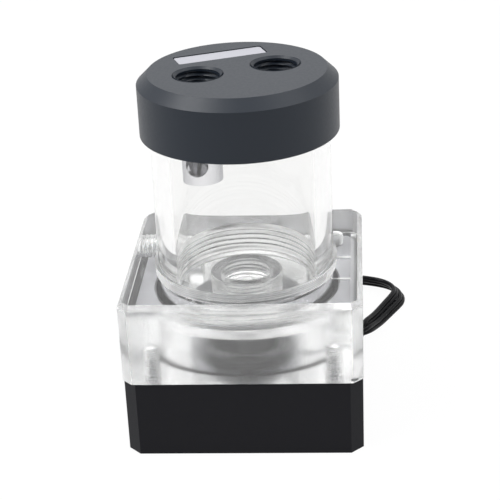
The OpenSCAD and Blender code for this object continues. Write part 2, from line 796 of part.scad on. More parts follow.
// Four-pin power plug: a thick housing with two sloped corners and four sockets
module power_plug() {
    end = power_route[len(power_route) - 1];
    slope = 2.2;
    half = power_size.x / 2;
    color([0.12, 0.12, 0.12]) translate([end.x, end.y, 0]) rotate([90, 0, 0]) difference() {
        linear_extrude(power_size.y) polygon([[-half, 0], [half, 0], [half, power_size.z - slope],
            [half - slope, power_size.z], [-half + slope, power_size.z], [-half, power_size.z - slope]]);
        for (i = [-1.5:1:1.5]) translate([power_pitch * i, power_size.z / 2, 5])
            cylinder(r = 1.7, h = power_size.y);
    }
}

base_cover();
case_screws();
thermal_pad();
circuit_board();
board_parts();
motor_housing();
stator_core();
stator_coils();
chamber_o_ring();
wear_ring();
bearing_post();
bearing_ball();
bearing_cup();
rotor_magnet();
impeller();
impeller_front();
pump_block();
tube_seal();
reservoir_tube();
cap_seal();
cap();
cap_plate();
return_fitting();
lead_bush();
wire_lead();
wire_coil();
coil_tie();
wire_tail();
split_sleeve();
fan_lead();
fan_plug();
power_lead();
power_plug();
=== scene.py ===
# Coolant pump with a clear reservoir: the finished look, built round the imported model.
# Metres, +Z up, with the origin in the middle of the base's underside.
import math

import bmesh
import bpy
from mathutils import Matrix, Vector


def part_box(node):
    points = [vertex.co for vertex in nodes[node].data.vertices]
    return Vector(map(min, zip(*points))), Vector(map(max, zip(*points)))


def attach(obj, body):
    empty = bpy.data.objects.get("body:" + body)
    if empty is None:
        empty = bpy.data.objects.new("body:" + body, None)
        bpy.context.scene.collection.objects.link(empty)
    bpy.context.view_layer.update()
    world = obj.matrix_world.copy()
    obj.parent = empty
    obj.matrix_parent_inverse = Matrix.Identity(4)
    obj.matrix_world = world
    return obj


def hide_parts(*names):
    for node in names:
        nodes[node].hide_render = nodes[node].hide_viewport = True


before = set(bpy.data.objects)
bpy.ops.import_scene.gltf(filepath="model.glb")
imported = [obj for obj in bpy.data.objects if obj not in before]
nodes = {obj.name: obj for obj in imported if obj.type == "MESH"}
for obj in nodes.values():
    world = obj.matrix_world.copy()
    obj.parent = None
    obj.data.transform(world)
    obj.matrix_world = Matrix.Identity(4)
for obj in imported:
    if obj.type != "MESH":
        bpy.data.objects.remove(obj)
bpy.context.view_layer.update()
MM = 0.001


# ---- Camera ----
# A long lens on a stand in front of the pump and a little to its right, looking down on it.
# It aims at the middle of the pump's height and is rolled slightly on its stand.
aim = Vector((0.00124, 0, 0.04708))
distance = 0.44241
azimuth = math.radians(4.675)
elevation = math.radians(24.5)
roll = math.radians(-2.75)
lens_mm = 112

back = Vector((math.sin(azimuth) * math.cos(elevation), -math.cos(azimuth) * math.cos(elevation),
               math.sin(elevation)))
camera = bpy.data.objects.new("camera", bpy.data.cameras.new("camera"))
bpy.context.scene.collection.objects.link(camera)
camera.data.lens = lens_mm
camera.data.clip_start = 0.01
camera.data.clip_end = 10
level = (-back).to_track_quat("-Z", "Y").to_matrix().to_4x4()
camera.matrix_world = (Matrix.Translation(aim + distance * back) @ level
                       @ Matrix.Rotation(roll, 4, "Z"))
bpy.context.scene.camera = camera


# ---- Lead ----
# Four thin wires in soft black insulation. They leave the base through a rubber bush, lie on the
# table, turn back behind the base and are wound there into two turns held by a tie.
wire_d = 1.5 * MM
bundle_d = 3.2 * MM
lead_exit = Vector((31.7, 31.7, 4.2)) * MM
coil_middle = Vector((12, 55.5, 2.2)) * MM
coil_radius = 16.5 * MM
coil_turns = 2
points_per_turn = 24
lead_points = [
    (33.2, 33.3, 3.9), (34.7, 36.1, 3.2), (36.3, 40, 2.4), (38, 44, 1.9), (39.7, 48, 1.7),
    (41.4, 51.7, 1.7), (43, 55.2, 1.7), (44.3, 58.7, 1.7), (44.4, 62.4, 1.7), (42.9, 65.9, 1.7),
    (40, 68.8, 1.7), (36, 70.6, 1.8), (31, 71.6, 2), (25, 72, 2.2), (19, 72, 2.2),
    (15.5, 72, 2.2)]
tail_points = [(7, 72, 5.4), (3, 72, 5.2), (-2, 72, 4.2), (-6.5, 72, 3), (-10, 72, 2.6),
               (-12, 72, 2.6)]
wire_places = (0.5625, 0.3125, 0.8125, 0.0625)  # of the four wires round the bundle, in turns
fan_starts, fan_flat = 0.5 * MM, 5.5 * MM       # where the wires part, and lie side by side
fan_narrows, fan_ends = 48 * MM, 66 * MM        # where they come together again
fan_gaps = (0.72, 0.98)                         # between the flat wires, in wire diameters
fan_gap_grows = 110 * MM                        # length over which the gap grows by a diameter
fan_lift = 0.8 * MM
twist_starts = 60 * MM
twist_radian = 14 * MM                          # length of bundle that twists by one radian


def coil_points():
    """The coil's turns, laid one on the other: anticlockwise from the side far from the base."""
    found = []
    for i in range(1, coil_turns * points_per_turn):
        turn = i / points_per_turn
        angle = math.pi / 2 + 2 * math.pi * turn
        climb = bundle_d * min(max((turn - 0.45) / 0.5, 0), coil_turns - 1)
        found.append(coil_middle + Vector((coil_radius * math.cos(angle),
                                           coil_radius * math.sin(angle), climb)))
    return found


def smooth_route(points, step):
    """Points about a step apart on a smooth curve through the points given."""
    found = []
    for i in range(len(points) - 1):
        a, b, c, d = (points[min(max(i + k, 0), len(points) - 1)] for k in (-1, 0, 1, 2))
        count = max(1, round((c - b).length / step))
        for k in range(count):
            t = k / count
            found.append(0.5 * (2 * b + (c - a) * t + (2 * a - 5 * b + 4 * c - d) * t ** 2
                                + (3 * b - a - 3 * c + d) * t ** 3))
    return found + [points[-1]]


def tube_mesh(bm, route, radius, sides=12):
    """A round tube along a route, closed at both ends."""
    rings = []
    for i, point in enumerate(route):
        along = (route[min(i + 1, len(route) - 1)] - route[max(i - 1, 0)]).normalized()
        side = along.cross(Vector((0, 0, 1)))
        side = side.normalized() if side.length > 1e-6 else Vector((1, 0, 0))
        rise = side.cross(along)
        rings.append([bm.verts.new(point + radius * (side * math.cos(2 * math.pi * k / sides)
                                                     + rise * math.sin(2 * math.pi * k / sides)))
                      for k in range(sides)])
    for one, two in zip(rings, rings[1:]):
        for k in range(sides):
            bm.faces.new((one[k], one[(k + 1) % sides], two[(k + 1) % sides], two[k]))
    bm.faces.new(rings[0][::-1])
    bm.faces.new(rings[-1])


def new_piece(name, bm, material, body, smooth_angle=30):
    """An object made from a bmesh, with smooth shading up to an angle, on one body of the pump."""
    bmesh.ops.recalc_face_normals(bm, faces=bm.faces[:])
    mesh = bpy.data.meshes.new(name)
    bm.to_mesh(mesh)
    bm.free()
    mesh.shade_smooth()
    mesh.set_sharp_from_angle(angle=math.radians(smooth_angle))
    mesh.materials.append(material)
    piece = bpy.data.objects.new(name, mesh)
    bpy.context.scene.collection.objects.link(piece)
    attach(piece, body)
    return piece


def new_material(name, colour, roughness, metallic=0.0, **sockets):
    """A material and its shader. What is the same all over goes on the shader's own sockets."""
    material = bpy.data.materials.new(name)
    material.use_nodes = True
    shader = material.node_tree.nodes["Principled BSDF"]
    shader.inputs["Base Color"].default_value = (*colour, 1)
    shader.inputs["Roughness"].default_value = roughness
    shader.inputs["Metallic"].default_value = metallic
    for socket, value in sockets.items():
        shader.inputs[socket.replace("_", " ")].default_value = value
    return material, shader


def pattern(material, kind, scale, stretch=(1, 1, 1), detail=2.0):
    """A noise or wave texture over the piece's own coordinates. Returns its output socket."""
    tree = material.node_tree
    place = tree.nodes.new("ShaderNodeTexCoord")
    mapping = tree.nodes.new("ShaderNodeMapping")
    mapping.inputs["Scale"].default_value = stretch
    texture = tree.nodes.new(kind)
    texture.inputs["Scale"].default_value = scale
    if "Detail" in texture.inputs:
        texture.inputs["Detail"].default_value = detail
    tree.links.new(place.outputs["Object"], mapping.inputs["Vector"])
    tree.links.new(mapping.outputs["Vector"], texture.inputs["Vector"])
    return texture.outputs["Fac"] if "Fac" in texture.outputs else texture.outputs[0]


def from_axis(material):
    """The distance from the pump's upright axis, and the height, as two sockets."""
    tree = material.node_tree
    place = tree.nodes.new("ShaderNodeTexCoord")
    level = tree.nodes.new("ShaderNodeVectorMath")
    level.operation = "MULTIPLY"
    level.inputs[1].default_value = (1, 1, 0)
    length = tree.nodes.new("ShaderNodeVectorMath")
    length.operation = "LENGTH"
    parts = tree.nodes.new("ShaderNodeSeparateXYZ")
    tree.links.new(place.outputs["Object"], level.inputs[0])
    tree.links.new(level.outputs["Vector"], length.inputs[0])
    tree.links.new(place.outputs["Object"], parts.inputs["Vector"])
    return length.outputs["Value"], parts.outputs["Z"]


def lathe_marks(material, per_metre):
    """Fine uneven rings round the pump's axis, as a cutting tool leaves them."""
    tree = material.node_tree
    radius, height = from_axis(material)
    along = tree.nodes.new("ShaderNodeMath")
    along.operation = "MULTIPLY_ADD"
    along.inputs[1].default_value = 1.7
    marks = tree.nodes.new("ShaderNodeTexNoise")
    marks.noise_dimensions = "1D"
    marks.inputs["Scale"].default_value = per_metre
    marks.inputs["Detail"].default_value = 3
    tree.links.new(height, along.inputs[0])
    tree.links.new(radius, along.inputs[2])
    tree.links.new(along.outputs[0], marks.inputs["W"])
    return marks.outputs["Fac"]


def spread(material, value, low, high, target):
    """Leads a 0 to 1 value into a shader socket, as a range from low to high."""
    tree = material.node_tree
    ramp = tree.nodes.new("ShaderNodeMapRange")
    ramp.inputs["To Min"].default_value = low
    ramp.inputs["To Max"].default_value = high
    tree.links.new(value, ramp.inputs["Value"])
    tree.links.new(ramp.outputs["Result"], target)


def tint(material, value, colour_a, colour_b, shader):
    """Mixes two colours by a 0 to 1 value into the shader's base colour."""
    tree = material.node_tree
    ramp = tree.nodes.new("ShaderNodeValToRGB")
    ramp.color_ramp.elements[0].color = (*colour_a, 1)
    ramp.color_ramp.elements[1].color = (*colour_b, 1)
    tree.links.new(value, ramp.inputs["Fac"])
    tree.links.new(ramp.outputs["Color"], shader.inputs["Base Color"])


def relief(material, value, depth, strength, shader):
    """Gives the surface a fine relief of a depth in metres."""
    tree = material.node_tree
    bump = tree.nodes.new("ShaderNodeBump")
    bump.inputs["Strength"].default_value = strength
    bump.inputs["Distance"].default_value = depth
    tree.links.new(value, bump.inputs["Height"])
    tree.links.new(bump.outputs["Normal"], shader.inputs["Normal"])


wire_black, wire_shader = new_material("wire_insulation", (0.004, 0.004, 0.005), 0.34,
                                       Specular_IOR_Level=0.07)
wire_grain = pattern(wire_black, "ShaderNodeTexNoise", 900)
spread(wire_black, wire_grain, 0.2, 0.34, wire_shader.inputs["Roughness"])
relief(wire_black, wire_grain, 0.00002, 0.3, wire_shader)

way_points = ([lead_exit] + [Vector(p) * MM for p in lead_points] + coil_points()
              + [Vector(p) * MM for p in tail_points])
lead_path = smooth_route(way_points, 1.2 * MM)


def fanned(travelled):
    """How flat the wires lie side by side after a distance along the lead: 0 bundled, 1 flat."""
    rising = min(max((travelled - fan_starts) / (fan_flat - fan_starts), 0), 1)
    falling = min(max((fan_ends - travelled) / (fan_ends - fan_narrows), 0), 1)
    ease = min(rising, falling)
    return ease * ease * (3 - 2 * ease)


lead_bm = bmesh.new()
for k, wire_place in enumerate(wire_places):
    travelled = 0
    strand = []
    for i, point in enumerate(lead_path):
        travelled += (point - lead_path[max(i - 1, 0)]).length
        along = (lead_path[min(i + 1, len(lead_path) - 1)] - lead_path[max(i - 1, 0)]).normalized()
        side = along.cross(Vector((0, 0, 1))).normalized()
        rise = side.cross(along)
        lean = (rise - side).normalized()
        across = along.cross(lean)
        twist = wire_place * 2 * math.pi + max(travelled - twist_starts, 0) / twist_radian
        bundled = wire_d / math.sqrt(2) * (math.cos(twist) * lean + math.sin(twist) * across)
        apart = wire_d * min(fan_gaps[0] + travelled / fan_gap_grows, fan_gaps[1])
        aside = math.sqrt(wire_d ** 2 - apart ** 2)
        flat = (k - 1.5) * apart * lean + aside * (k % 2 - 0.5) * across + fan_lift * rise
        share = fanned(travelled)
        strand.append(point + bundled * (1 - share) + flat * share)
    tube_mesh(lead_bm, strand, wire_d / 2)
lead = new_piece("lead_wires", lead_bm, wire_black, "base")
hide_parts("wire_lead", "wire_coil", "wire_tail")


def dress(material, *names):
    """Puts a material on pieces of the model that keep their own shape."""
    for name in names:
        nodes[name].data.materials[0] = material


plug_black, plug_shader = new_material("plug_moulding", (0.02, 0.02, 0.022), 0.3)
relief(plug_black, pattern(plug_black, "ShaderNodeTexNoise", 700), 0.00001, 0.25, plug_shader)
dress(plug_black, "fan_plug", "power_plug", "coil_tie")
dress(wire_black, "split_sleeve", "fan_lead", "power_lead", "lead_bush")


# ---- Base cover ----
# A black anodised aluminium tray, milled from the solid with a satin finish and four cut
# corners. It holds the motor, and four steel screws from below clamp it to the clear block.
cover_black, cover_shader = new_material("cover_anodised", (0.006, 0.006, 0.008), 0.42,
                                         Specular_IOR_Level=0.12)
cover_grain = pattern(cover_black, "ShaderNodeTexNoise", 1600, detail=3)
spread(cover_black, cover_grain, 0.36, 0.5, cover_shader.inputs["Roughness"])
relief(cover_black, cover_grain, 0.00001, 0.35, cover_shader)
dress(cover_black, "base_cover")

screw_steel, screw_shader = new_material("screw_steel", (0.42, 0.42, 0.43), 0.32, 1.0)
spread(screw_steel, pattern(screw_steel, "ShaderNodeTexNoise", 500), 0.24, 0.42,
       screw_shader.inputs["Roughness"])
dress(screw_steel, "case_screws")


# ---- Motor ----
# Circuit board, soft heat pad, stator of stacked steel sheet with copper coils, all closed in
# between the cover and the moulded housing. None of it shows from outside.
pad_blue, pad_shader = new_material("heat_pad", (0.35, 0.45, 0.58), 0.8)
relief(pad_blue, pattern(pad_blue, "ShaderNodeTexNoise", 600), 0.00004, 0.5, pad_shader)
dress(pad_blue, "thermal_pad")
board_green, board_shader = new_material("solder_mask", (0.02, 0.12, 0.06), 0.35)
tint(board_green, pattern(board_green, "ShaderNodeTexVoronoi", 350), (0.02, 0.1, 0.05),
     (0.03, 0.16, 0.08), board_shader)
dress(board_green, "circuit_board")
chip_black, chip_shader = new_material("chip_moulding", (0.02, 0.02, 0.022), 0.55)
relief(chip_black, pattern(chip_black, "ShaderNodeTexNoise", 1500), 0.00001, 0.4, chip_shader)
dress(chip_black, "board_parts")
core_steel, core_shader = new_material("core_sheet", (0.45, 0.45, 0.47), 0.4, 1.0)
relief(core_steel, pattern(core_steel, "ShaderNodeTexWave", 1000, (0, 0, 1)), 0.00005, 0.5,
       core_shader)
dress(core_steel, "stator_core")
copper, copper_shader = new_material("coil_copper", (0.6, 0.25, 0.12), 0.3, 1.0)
relief(copper, pattern(copper, "ShaderNodeTexWave", 1200), 0.0001, 0.6, copper_shader)
dress(copper, "stator_coils")


# ---- Motor housing and steel ring ----
# Grey moulded plate that the clear block closes on, with a well in it for the rotor. Inside the
# chamber it is glossy black. A turned steel ring is let in at the chamber's edge.
plate_colour, chamber_colour = (0.62, 0.62, 0.66), (0.012, 0.012, 0.014)
chamber_edge = 24.5 * MM
housing_grey, housing_shader = new_material("housing_moulding", plate_colour, 0.5)
housing_grain = pattern(housing_grey, "ShaderNodeTexNoise", 800, detail=3)
relief(housing_grey, housing_grain, 0.00002, 0.3, housing_shader)


def beyond(material, radius):
    """0 inside a radius round the pump's axis and 1 outside it."""
    edge = material.node_tree.nodes.new("ShaderNodeMapRange")
    edge.inputs["From Min"].default_value = radius
    edge.inputs["From Max"].default_value = radius + 0.1 * MM
    material.node_tree.links.new(from_axis(material)[0], edge.inputs["Value"])
    return edge.outputs["Result"]


dry_side = beyond(housing_grey, chamber_edge)
tint(housing_grey, dry_side, chamber_colour, plate_colour, housing_shader)
spread(housing_grey, dry_side, 0.3, 0.5, housing_shader.inputs["Roughness"])
dress(housing_grey, "motor_housing")
ring_steel, ring_shader = new_material("turned_steel", (0.62, 0.62, 0.65), 0.26, 1.0)
relief(ring_steel, lathe_marks(ring_steel, 2500), 0.00003, 0.7, ring_shader)
dress(ring_steel, "wear_ring", "bearing_post")


# ---- Rotor ----
# One wet rotor: a sintered ring magnet under a black moulded impeller, which turns on a single
# ceramic ball in a carbon cup. The impeller's rim is black with a painted sheen at a low angle.
rotor_rim = 17.6 * MM
impeller_colour = (0.012, 0.012, 0.014)
magnet_dark, magnet_shader = new_material("magnet_sinter", (0.05, 0.05, 0.053), 0.45, 0.3)
relief(magnet_dark, pattern(magnet_dark, "ShaderNodeTexNoise", 1200), 0.00002, 0.4, magnet_shader)
dress(magnet_dark, "rotor_magnet")
impeller_black, impeller_shader = new_material("impeller_moulding", impeller_colour, 0.2)
relief(impeller_black, pattern(impeller_black, "ShaderNodeTexNoise", 900), 0.00001, 0.3,
       impeller_shader)
# Painted sheen: outside rotor_rim the colour turns from black to light grey as the viewing angle
# grows.
painted_sheen_angle = impeller_black.node_tree.nodes.new("ShaderNodeLayerWeight")
painted_sheen_angle.inputs["Blend"].default_value = 0.5
painted_sheen = impeller_black.node_tree.nodes.new("ShaderNodeMapRange")
painted_sheen.inputs["From Min"].default_value = 0.14
painted_sheen.inputs["From Max"].default_value = 0.65
impeller_black.node_tree.links.new(painted_sheen_angle.outputs["Facing"], painted_sheen.inputs["Value"])
impeller_black.node_tree.links.new(beyond(impeller_black, rotor_rim), painted_sheen.inputs["To Max"])
tint(impeller_black, painted_sheen.outputs["Result"], impeller_colour, (0.85, 0.85, 0.87),
     impeller_shader)
dress(impeller_black, "impeller")
front_grey, front_shader = new_material("impeller_front_moulding", (0.42, 0.42, 0.46), 0.4)
relief(front_grey, lathe_marks(front_grey, 1500), 0.00002, 0.4, front_shader)
dress(front_grey, "impeller_front")
carbon, carbon_shader = new_material("bearing_carbon", (0.035, 0.035, 0.037), 0.6)
relief(carbon, pattern(carbon, "ShaderNodeTexNoise", 1500), 0.00001, 0.4, carbon_shader)
dress(carbon, "bearing_cup")
ceramic, ceramic_shader = new_material("ball_ceramic", (0.85, 0.84, 0.8), 0.15)
spread(ceramic, pattern(ceramic, "ShaderNodeTexNoise", 400), 0.12, 0.2,
       ceramic_shader.inputs["Roughness"])
dress(ceramic, "bearing_ball")


# ---- Clear pump block ----
# A block of clear cast acrylic, milled and polished: pump chamber below, threaded socket for
# the tube above, a neck between them, a threaded port in its left side, screw holes below.
acrylic_ior = 1.49
acrylic_clear = (0.985, 0.99, 0.988)


def acrylic(name, roughness, through=1.0, colour=acrylic_clear):
    """Acrylic with one kind of surface. through is the share of light that enters it."""
    return new_material(name, colour, roughness, Transmission_Weight=through, IOR=acrylic_ior)


polished = acrylic("acrylic_polished", 0.0)[0]
milled, milled_shader = acrylic("acrylic_milled", 0.2, 0.93)
relief(milled, pattern(milled, "ShaderNodeTexNoise", 9000, (1, 1, 0.01)), 0.00004, 1,
       milled_shader)
threaded, threaded_shader = acrylic("acrylic_threaded", 0.3)
relief(threaded, pattern(threaded, "ShaderNodeTexNoise", 1500, detail=3), 0.00002, 0.5,
       threaded_shader)
lathed, lathed_shader = acrylic("acrylic_turned", 0.15)
relief(lathed, lathe_marks(lathed, 1800), 0.00001, 0.5, lathed_shader)
satin, satin_shader = acrylic("acrylic_satin", 0.25)
relief(satin, lathe_marks(satin, 1200), 0.00008, 1, satin_shader)
faced, faced_shader = acrylic("acrylic_faced", 0.15)
relief(faced, lathe_marks(faced, 2200), 0.00002, 0.4, faced_shader)

block_low, block_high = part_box("pump_block")
block_w = block_high.x - block_low.x
underside = block_low.z + 0.02 * MM
corner_leg = 2.7 * MM
top_bevel = 1.4 * MM
foot_bevel = 0.1 * MM
chamber_r = 24.8 * MM
chamber_top = block_low.z + 11 * MM
inlet_r = 5 * MM
mouth_r = 6.8 * MM
mouth_z = chamber_top + 1.5 * MM
mouth_pitch = 1.2 * MM
mouth_thread = 0.5 * MM
mouth_chamfer = 0.6 * MM
reservoir_z = chamber_top + 3 * MM
neck_r = 10.25 * MM
neck_top = reservoir_z + 6 * MM
neck_chamfer = 0.2 * MM
socket_r = 25.3 * MM
socket_bevel = 0.7 * MM
tube_pitch = 1.5 * MM
tube_thread = 0.5 * MM
port_r = 6.58 * MM
port_pitch = 1.337 * MM
port_thread = 0.6 * MM
port_bevel = 0.5 * MM
port_depth = 8.8 * MM
port_y, port_z = 16.2 * MM, block_low.z + 11.8 * MM
outlet_r = 4 * MM
outlet_y, outlet_z = 17.2 * MM, block_low.z + 8.4 * MM
outlet_length = 9 * MM
screw_at = 25 * MM
hole_r = 2.05 * MM
hole_depth = 9 * MM
hole_pitch = 0.7 * MM
hole_thread = 0.3 * MM
drill_tip = 0.6 * hole_r
groove_x = block_high.x - 3.4 * MM
groove_w = 1.6 * MM
groove_end = 2 * MM
groove_depth = 0.8 * MM
slot_w = 1 * MM
slot_ys = (0.8 * MM, 15 * MM)
spare = 1 * MM                  # how far a cut runs past the face that it opens


def octagon(width, leg, z):
    """Corner points of a square with its corners cut, anticlockwise."""
    half, short = width / 2, width / 2 - leg
    return [Vector((x, y, z)) for x, y in (
        (half, -short), (half, short), (short, half), (-short, half),
        (-half, short), (-half, -short), (-short, -half), (short, -half))]


def stacked(bm, outlines):
    """Closed solid through outlines of equally many points, one over the other."""
    rings = [[bm.verts.new(p) for p in outline] for outline in outlines]
    count = len(rings[0])
    for one, two in zip(rings, rings[1:]):
        for k in range(count):
            bm.faces.new((one[k], one[(k + 1) % count], two[(k + 1) % count], two[k]))
    bm.faces.new(rings[0][::-1])
    bm.faces.new(rings[-1])


def turned(bm, profile, sides=192, thread=None, place=Matrix.Identity(4)):
    """Turns a profile of (radius, height) points round Z. A profile that leaves the axis and comes
    back to it makes a solid, any other is closed into a ring. thread changes a radius by angle."""
    closed = profile[0][0] > 0
    rings = []
    for r, z in profile:
        if r == 0:
            rings.append([bm.verts.new(place @ Vector((0, 0, z)))] * sides)
            continue
        ring = []
        for k in range(sides):
            angle = 2 * math.pi * k / sides
            radius = r + (thread(r, z, angle) if thread else 0)
            ring.append(bm.verts.new(place @ Vector((radius * math.cos(angle),
                                                     radius * math.sin(angle), z))))
        rings.append(ring)
    if closed:
        rings.append(rings[0])
    for one, two in zip(rings, rings[1:]):
        for k in range(sides):
            corners = [one[k], one[(k + 1) % sides], two[(k + 1) % sides], two[k]]
            corners = [v for i, v in enumerate(corners) if v not in corners[:i]]
            if len(corners) > 2:
                bm.faces.new(corners)


def thread_cut(wall_r, low, high, pitch, depth):
    """A screw thread on the wall at one radius between two heights, running out at both ends."""
    def change(r, z, angle):
        if abs(r - wall_r) > 1e-6 or not low <= z <= high:
            return 0
        phase = (z / pitch - angle / (2 * math.pi)) % 1
        flank = min(max(1.6 * (1 - abs(2 * phase - 1)) - 0.3, 0), 1)
        run_out = min(1, (z - low) / pitch, (high - z) / pitch)
        return depth * flank * run_out
    return change


def steps(radius, low, high, spacing):
    """Points up a wall, close enough together for a thread."""
    count = max(1, round((high - low) / spacing))
    return [(radius, low + (high - low) * i / count) for i in range(count + 1)]


def cut_away(piece, cutters):
    """Takes the cutters' shapes out of a piece, and removes the cutters."""
    for cutter in cutters:
        modifier = piece.modifiers.new("cut", "BOOLEAN")
        modifier.operation = "DIFFERENCE"
        modifier.solver = "EXACT"
        modifier.object = cutter
        shaped = bpy.data.meshes.new_from_object(
            piece.evaluated_get(bpy.context.evaluated_depsgraph_get()))
        piece.modifiers.clear()
        piece.data = shaped
    for cutter in cutters:
        bpy.data.objects.remove(cutter)


def cutter(name, build):
    """A solid to cut with, made by a function that fills a bmesh."""
    bm = bmesh.new()
    build(bm)
    bmesh.ops.recalc_face_normals(bm, faces=bm.faces[:])
    mesh = bpy.data.meshes.new(name)
    bm.to_mesh(mesh)
    bm.free()
    made = bpy.data.objects.new(name, mesh)
    bpy.context.scene.collection.objects.link(made)
    return made


block_bm = bmesh.new()
stacked(block_bm, [
    octagon(block_w - 2 * foot_bevel, corner_leg - foot_bevel * (2 - math.sqrt(2)), underside),
    octagon(block_w, corner_leg, block_low.z + foot_bevel),
    octagon(block_w, corner_leg, block_high.z - top_bevel),
    octagon(block_w - 2 * top_bevel, corner_leg - top_bevel * (2 - math.sqrt(2)), block_high.z)])
block = new_piece("clear_block", block_bm, milled, "base", 25)

inside_profile = (
    [(0, block_low.z - spare), (chamber_r, block_low.z - spare), (chamber_r, chamber_top),
     (inlet_r, chamber_top), (inlet_r, mouth_z)]
    + steps(mouth_r, mouth_z, neck_top - mouth_chamfer, mouth_pitch / 8)
    + [(mouth_r + mouth_chamfer, neck_top), (neck_r - neck_chamfer, neck_top),
       (neck_r, neck_top - neck_chamfer), (neck_r, reservoir_z)]
    + steps(socket_r, reservoir_z, block_high.z - socket_bevel, tube_pitch / 8)
    + [(socket_r + socket_bevel + spare, block_high.z + spare), (0, block_high.z + spare)])


def inside_threads(r, z, angle):
    """The tube's thread in the socket and a finer one in the neck's mouth."""
    socket = thread_cut(socket_r, reservoir_z, block_high.z - socket_bevel, tube_pitch,
                        tube_thread)
    mouth = thread_cut(mouth_r, mouth_z, neck_top - mouth_chamfer, mouth_pitch, mouth_thread)
    return socket(r, z, angle) + mouth(r, z, angle)


inside_cut = cutter("inside_cut", lambda bm: turned(bm, inside_profile, 256, inside_threads))

port_place = (Matrix.Translation((block_low.x, port_y, port_z))
              @ Matrix.Rotation(-math.pi / 2, 4, "Y"))
port_mouth = port_bevel + spare - port_thread
port_profile = (
    [(0, -port_depth)]
    + steps(port_r - port_thread, -port_depth, -port_bevel, port_pitch / 8)
    + [(port_r + spare, port_mouth), (0, port_mouth)])
port_cut = cutter("port_cut", lambda bm: turned(bm, port_profile, 128, thread_cut(
    port_r - port_thread, -port_depth, -port_bevel, port_pitch, port_thread), port_place))

outlet_place = (Matrix.Translation((block_low.x + port_depth - spare, outlet_y, outlet_z))
                @ Matrix.Rotation(math.pi / 2, 4, "Y"))
outlet_profile = [(0, 0), (outlet_r, 0), (outlet_r, outlet_length), (0, outlet_length)]
outlet_cut = cutter("outlet_cut", lambda bm: turned(bm, outlet_profile, 96, None, outlet_place))

cutters = [inside_cut, port_cut, outlet_cut]
hole_profile = ([(0, -spare), (hole_r, -spare)] + steps(hole_r, 0, hole_depth, 0.1 * MM)
                + [(0, hole_depth + drill_tip)])
for x in (-screw_at, screw_at):
    for y in (-screw_at, screw_at):
        hole_place = Matrix.Translation((x, y, block_low.z))
        cutters.append(cutter("hole_cut", lambda bm: turned(bm, hole_profile, 48, thread_cut(
            hole_r, 0, hole_depth, hole_pitch, hole_thread), hole_place)))


def box_mesh(bm, low, high):
    """A block between two corners."""
    stacked(bm, [[Vector((low[0], low[1], z)), Vector((high[0], low[1], z)),
                  Vector((high[0], high[1], z)), Vector((low[0], high[1], z))]
                 for z in (low[2], high[2])])


slot_start = chamber_r - 0.05 * MM
cutters.append(cutter("groove_cut", lambda bm: box_mesh(
    bm, (groove_x, block_low.y + groove_end, block_low.z - spare),
    (groove_x + groove_w, block_high.y - groove_end, block_low.z + groove_depth))))
for y in slot_ys:
    cutters.append(cutter("slot_cut", lambda bm: box_mesh(
        bm, (slot_start, y - slot_w / 2, block_low.z - spare),
        (groove_x + groove_w / 2, y + slot_w / 2, block_low.z + groove_depth))))
cut_away(block, cutters)
block.data.shade_smooth()
block.data.set_sharp_from_angle(angle=math.radians(25))
finishes = [milled, polished, threaded, lathed, faced, satin]
for finish in finishes[1:]:
    block.data.materials.append(finish)


def finish_of(face):
    """The finish of one face of the block, by where the face lies."""
    middle = face.center
    off_axis = max(math.hypot(*block.data.vertices[v].co.xy) for v in face.vertices)
    if max(abs(middle.x), abs(middle.y)) > block_w / 2 - 0.1 * MM:
        return milled
    if middle.z > block_high.z - top_bevel - 0.1 * MM and off_axis > socket_r + 2 * MM:
        return polished if face.normal.z > 0.9 else milled
    if middle.z < underside + 0.01 * MM:
        return faced
    if off_axis < neck_r + 0.1 * MM and middle.z > mouth_z - 0.1 * MM:
        return satin
    if off_axis < socket_r + 1 * MM and middle.z < reservoir_z + 0.01 * MM:
        return lathed
    return threaded


for face in block.data.polygons:
    face.material_index = finishes.index(finish_of(face))
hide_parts("pump_block")


# ---- O-ring ----
# Black rubber ring in a groove of the housing, round the pump chamber. The screws press the
# block down on it, so it shows through the clear block as a flat band.
rubber_black, rubber_shader = new_material("rubber", (0.012, 0.012, 0.013), 0.5)
spread(rubber_black, pattern(rubber_black, "ShaderNodeTexNoise", 700), 0.42, 0.6,
       rubber_shader.inputs["Roughness"])
ring_low, ring_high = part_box("chamber_o_ring")
band_in, band_out = ring_high.x - 1.9 * MM, ring_high.x - 0.5 * MM
band_low, band_top = ring_low.z + 0.4 * MM, underside + 0.03 * MM
ring_bm = bmesh.new()
turned(ring_bm, [(band_in, band_low), (band_out, band_low), (band_out, band_top),
                 (band_in, band_top)])
pressed_ring = new_piece("pressed_o_ring", ring_bm, rubber_black, "base")
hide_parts("chamber_o_ring")


# ---- Reservoir tube ----
# Clear acrylic tube with a 5 mm wall, polished, and threaded outside at both ends. Its lower end
# stands in the block's socket on a clear ring, and the cap screws over its upper end.
seal_clear, seal_shader = new_material("seal_silicone", (0.85, 0.85, 0.85), 0.3,
                                       Transmission_Weight=0.8, IOR=1.42)
spread(seal_clear, pattern(seal_clear, "ShaderNodeTexNoise", 500), 0.2, 0.4,
       seal_shader.inputs["Roughness"])
dress(seal_clear, "tube_seal")

